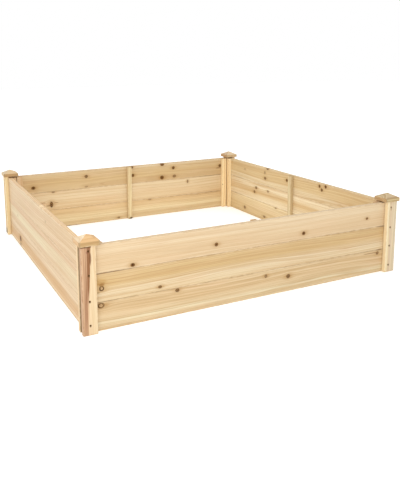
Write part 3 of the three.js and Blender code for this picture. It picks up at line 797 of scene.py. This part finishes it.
def make_wood_pieces():
    for name in sorted(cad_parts):
        if name.startswith("nail_") or name.startswith("post_cap"):
            continue
        lo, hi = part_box(name)
        axes = grain_axes(name)
        look = dict(LOOK.get(name, {}))
        seed = look.pop("seed", seed_of(name))
        kn = KNOTS.get(name, [])
        lo, hi = lo.copy(), hi.copy()
        if name == "right_end_batten_back":
            lo.x -= 0.002
        if name == "back_mid_batten":
            lo.x -= 0.003
            hi.x -= 0.003
        if name.endswith("_mid_batten"):
            k = 0 if name.split("_")[0] in ("front", "back") else 1
            lo[k] += 0.0016
            hi[k] -= 0.0016
        if "_board_" in name:
            # boards rest on one another with hardly a gap
            lo.z -= 0.0 if name.endswith("lower") else 0.0004
            hi.z += 0.0 if name.endswith("upper") else 0.0004
        ob = stick(name + "_wood", lo, hi, axes, int(seed * 100) % 9000, knots=kn, dimples=dimples_for(name, lo, hi),
                   ease=0.85 if "_board_" in name else 1.3)
        r = np.random.RandomState(int(seed * 100) % 9000)
        if name not in LOOK:
            tone = r.uniform(0.1, 0.7)
            look.update(plain=tone, pith=(float(r.uniform(-0.04, 0.04)), float(r.choice([-1, 1]) * r.uniform(0.03, 0.09))),
                        streak=float(r.uniform(0.35, 0.7)), light=float(r.uniform(0.97, 1.03)))
        # no joint above the top board or under the bottom one
        if "_board_" in name:
            look["free"] = {"upper": 1.0, "lower": -1.0}.get(name.split("_")[2], 0.0)
        rust = [(d[0] - 1.0, d[1], 5.6, 3.9, 0.80, (112, 80, 40)) for d in dimples_for(name, lo, hi)]
        # board ends: darker end grain and painted shade, strongest on the front boards
        mat = wood_material("fir_" + name, lo, hi, axes, seed, knots=kn, splits=SPLITS.get(name, ()),
                            spots=rust + SPOTS.get(name, []),
                            end_grain_and_shade=(0.95 if name.startswith("front") else 0.75) if "_board_" in name else 0.0, seam=0.0 if "_board_" not in name else {"left": 0.10, "right": 0.42, "back": 0.75, "front": 0.66}[name.split("_")[0]], **look)
        ob.data.materials.append(mat)
        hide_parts(name)
        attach(ob, "root")


# ------------------------------------------------------------------ caps
def make_cap(name):
    """A square cap turned up to a low pyramid, with its edges rubbed round."""
    lo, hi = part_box(name)
    c = (lo + hi) / 2
    rim = 0.0135
    h = (hi.x - lo.x) / 2
    bm = bmesh.new()
    z0, z1, z2 = lo.z, lo.z + rim, hi.z
    ring0 = [bm.verts.new((c.x + sx * h, c.y + sy * h, z0)) for sx, sy in ((-1, -1), (1, -1), (1, 1), (-1, 1))]
    ring1 = [bm.verts.new((c.x + sx * h, c.y + sy * h, z1)) for sx, sy in ((-1, -1), (1, -1), (1, 1), (-1, 1))]
    top = bm.verts.new((c.x, c.y, z2 + 0.0004))
    bm.faces.new(ring0[::-1])
    for k in range(4):
        k2 = (k + 1) % 4
        bm.faces.new((ring0[k], ring0[k2], ring1[k2], ring1[k]))
        bm.faces.new((ring1[k], ring1[k2], top))
    bmesh.ops.recalc_face_normals(bm, faces=bm.faces)
    bmesh.ops.bevel(bm, geom=list(bm.edges), offset=0.0016, segments=4, profile=0.5, affect="EDGES", clamp_overlap=True)
    bmesh.ops.triangulate(bm, faces=[f for f in bm.faces if len(f.verts) > 4])
    long_edges = [e for e in bm.edges if e.calc_length() > 0.006]
    for _ in range(3):
        long_edges = [e for e in bm.edges if e.calc_length() > 0.007]
        if not long_edges:
            break
        bmesh.ops.subdivide_edges(bm, edges=long_edges, cuts=1, use_grid_fill=False)
        bmesh.ops.triangulate(bm, faces=[f for f in bm.faces if len(f.verts) > 4])
    seed = int(seed_of(name) * 50) % 900
    for v in bm.verts:
        n1 = float(vnoise(np.array([v.co.x * 90]), np.array([v.co.y * 90 + v.co.z * 200]), seed)[0])
        d = Vector((v.co.x - c.x, v.co.y - c.y, 0))
        if d.length > 1e-6:
            v.co -= d.normalized() * (0.00018 + 0.00014 * n1)
        v.co.z = min(v.co.z, z2)
    me = bpy.data.meshes.new(name + "_wood")
    bm.to_mesh(me)
    bm.free()
    me.polygons.foreach_set("use_smooth", [True] * len(me.polygons))
    ob = bpy.data.objects.new(name + "_wood", me)
    scene.collection.objects.link(ob)
    mod = ob.modifiers.new("weighted", "WEIGHTED_NORMAL")
    mod.keep_sharp = True
    mod.weight = 80
    return ob, lo, hi


ONE = (1.0, 1.0, 1.0)
# up and rim paint light and shade on each cap's left, front, right and back slopes and rims
CAPS = {
    "post_cap_front_left": dict(axes="xyz", seed=31.3, plain=0.8, tan=(238, 194, 138), pale=(246, 214, 164), streak=0.7, late=0.6,
                                line=(210, 156, 98), pith=(0.0, -0.05), ring=0.0042,
                                up=((1.18, 1.50, 2.15), (1.02, 1.04, 1.06), ONE, ONE),
                                rim=((1.26, 1.58, 2.20), (0.68, 0.71, 0.68), (0.8, 0.8, 0.76), (0.8, 0.8, 0.76))),
    "post_cap_front_right": dict(axes="xyz", seed=32.8, plain=0.75, tan=(222, 194, 152), pale=(232, 208, 172), streak=0.85, late=0.85,
                                 line=(176, 138, 96), pith=(0.01, -0.04), ring=0.0060,
                                 up=((1.09, 1.18, 1.19), (1.10, 1.18, 1.22), ONE, ONE),
                                 rim=((1.22, 1.36, 1.38), (0.97, 1.06, 0.96), (0.85, 0.9, 0.85), (0.85, 0.9, 0.85))),
    "post_cap_back_left": dict(axes="yxz", seed=33.9, plain=0.6, tan=(226, 196, 150), pale=(240, 216, 178), streak=0.6, late=0.5,
                               pith=(0.0, -0.04), ring=0.0036, up=((1.06, 1.16, 1.35), (1.13, 1.19, 1.25), ONE, ONE),
                               rim=((1.0, 1.05, 1.1), (0.92, 0.95, 0.92), (0.85, 0.87, 0.8), (0.85, 0.87, 0.8))),
    "post_cap_back_right": dict(axes="xyz", seed=34.2, plain=0.7, tan=(226, 194, 150), pale=(236, 212, 174), streak=0.6, late=0.5,
                                pith=(0.01, -0.05), ring=0.0038, up=((0.94, 0.94, 0.99), (1.09, 1.15, 1.24), ONE, ONE),
                                rim=((0.98, 0.98, 0.96), (0.90, 0.90, 0.84), (0.85, 0.85, 0.8), (0.85, 0.85, 0.8))),
}


def make_caps():
    for name in sorted(CAPS):
        ob, lo, hi = make_cap(name)
        look = dict(CAPS[name])
        axes, seed = look.pop("axes"), look.pop("seed")
        look["slopes"] = (look.pop("up"), look.pop("rim"), lo.z + 0.0135)
        ob.data.materials.append(wood_material("fir_" + name, lo, hi, axes, seed, **look))
        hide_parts(name)
        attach(ob, "root")


# ------------------------------------------------------------------ nails
def nail_material():
    m = bpy.data.materials.new("nail_steel")
    m.use_nodes = True
    t = m.node_tree
    t.nodes.clear()
    w = Net(t)
    out = t.nodes.new("ShaderNodeOutputMaterial")
    bsdf = t.nodes.new("ShaderNodeBsdfPrincipled")
    w.l.new(bsdf.outputs[0], out.inputs[0])
    tc = t.nodes.new("ShaderNodeTexCoord")
    a = w.noise(tc.outputs["Object"], 420.0, 3.0, 0.6)
    b = w.noise(tc.outputs["Object"], 1500.0, 2.0, 0.5)
    rust = w.smooth(a, 0.46, 0.62)
    col = w.mixc(rust, lin((92, 66, 38)), lin((84, 54, 26)))
    col = w.mixc(w.mul(w.smooth(b, 0.5, 0.8), 0.5), col, lin((66, 44, 24)))
    w.l.new(col, bsdf.inputs["Base Color"])
    w.put(bsdf.inputs["Roughness"], w.mad(rust, 0.20, 0.55))
    w.put(bsdf.inputs["Metallic"], w.mad(rust, -0.08, 0.10))
    bsdf.inputs["Specular IOR Level"].default_value = 0.06
    bump = t.nodes.new("ShaderNodeBump")
    bump.inputs["Strength"].default_value = 0.6
    bump.inputs["Distance"].default_value = 0.001
    w.put(bump.inputs["Height"], w.add(w.mul(a, 0.12), w.mul(b, 0.05)))
    w.l.new(bump.outputs[0], bsdf.inputs["Normal"])
    return m


def lathe_y(name, profile, centre, towards, seg=28):
    """Turns (radius, depth) about the line through centre along y. depth runs into the wood, away from towards."""
    verts, faces = [], []
    for r, d in profile:
        if r == 0:
            verts.append((centre[0], centre[1] - towards * d, centre[2]))
        else:
            for k in range(seg):
                a = 2 * math.pi * k / seg
                verts.append((centre[0] + r * math.cos(a), centre[1] - towards * d, centre[2] + r * math.sin(a)))
    idx, p = [], 0
    for r, _ in profile:
        idx.append([p] if r == 0 else list(range(p, p + seg)))
        p += 1 if r == 0 else seg
    for a, b in zip(idx[:-1], idx[1:]):
        for k in range(seg):
            k2 = (k + 1) % seg
            if len(a) == 1:
                faces.append((a[0], b[k], b[k2]))
            elif len(b) == 1:
                faces.append((a[k], b[0], a[k2]))
            else:
                faces.append((a[k], b[k], b[k2], a[k2]))
    ob = mesh_object(name, verts, faces)
    bm = bmesh.new()
    bm.from_mesh(ob.data)
    bmesh.ops.recalc_face_normals(bm, faces=bm.faces)
    bm.to_mesh(ob.data)
    bm.free()
    return ob


def make_nails():
    steel = nail_material()
    for name, (lo, hi) in sorted(nails.items()):
        front = name.startswith("nail_front")
        towards = -1 if front else 1
        y = lo.y if front else hi.y
        c = (lo + hi) / 2
        length = hi.y - lo.y
        r = (hi.x - lo.x) / 2
        prof = [(0, 0.00006), (r * 0.35, 0.00004), (r * 0.70, 0.00004), (r * 0.86, 0.00010), (r * 0.96, 0.00028), (r * 0.99, 0.00055),
                (r * 0.95, 0.00085), (r * 0.80, 0.00105), (0.00155, 0.00125), (0.00140, 0.0020), (0.00140, length - 0.0045),
                (0.00095, length - 0.0022), (0.0, length - 0.0002)]
        ob = lathe_y(name + "_steel", prof, (c.x, y, c.z), towards)
        ob.data.materials.append(steel)
        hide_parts(name)
        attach(ob, "root")


make_wood_pieces()
make_caps()
make_nails()


# ------------------------------------------------------------------ floor and light
def make_floor():
    s = 14.0
    ob = mesh_object("floor", [(-s, -s, -0.0004), (s, -s, -0.0004), (s, s, -0.0004), (-s, s, -0.0004)], [(0, 1, 2, 3)], smooth=False)
    m = bpy.data.materials.new("floor_white")
    m.use_nodes = True
    b = m.node_tree.nodes["Principled BSDF"]
    b.inputs["Base Color"].default_value = (0.93, 0.93, 0.93, 1.0)
    b.inputs["Roughness"].default_value = 0.9
    b.inputs["Specular IOR Level"].default_value = 0.1
    b.inputs["Emission Color"].default_value = (1.0, 1.0, 1.0, 1.0)
    b.inputs["Emission Strength"].default_value = 0.36
    ob.data.materials.append(m)


def area(name, loc, target, size, power, rgb=(1.0, 1.0, 1.0)):
    d = bpy.data.lights.new(name, "AREA")
    d.shape = "RECTANGLE"
    d.size, d.size_y = size
    d.energy = power
    d.color = rgb
    ob = bpy.data.objects.new(name, d)
    ob.location = loc
    ob.rotation_mode = "QUATERNION"
    ob.rotation_quaternion = (Vector(target) - Vector(loc)).to_track_quat("-Z", "Y")
    ob.visible_camera = False
    scene.collection.objects.link(ob)
    return ob


def make_light():
    world = bpy.data.worlds.new("world")
    scene.world = world
    world.use_nodes = True
    bg = world.node_tree.nodes["Background"]
    bg.inputs[0].default_value = (1.0, 1.0, 1.0, 1.0)
    bg.inputs[1].default_value = 1.0
    area("top", (-0.4, 0.2, 3.6), (0, 0, 0), (3.6, 3.6), 8.0)
    # what the white ground inside the bed throws up at its walls
    area("ground", (0.0, 0.0, 0.003), (0.0, 0.0, 1.0), (1.06, 1.06), 1.25)
    area("front_left", (-1.15, -1.6, 0.80), (-0.45, -0.5, 0.15), (0.8, 0.8), 5.5)


make_floor()
make_light()
scene.view_settings.view_transform = "Standard"
scene.view_settings.look = "None"
scene.view_settings.exposure = 0.0
scene.view_settings.gamma = 1.0
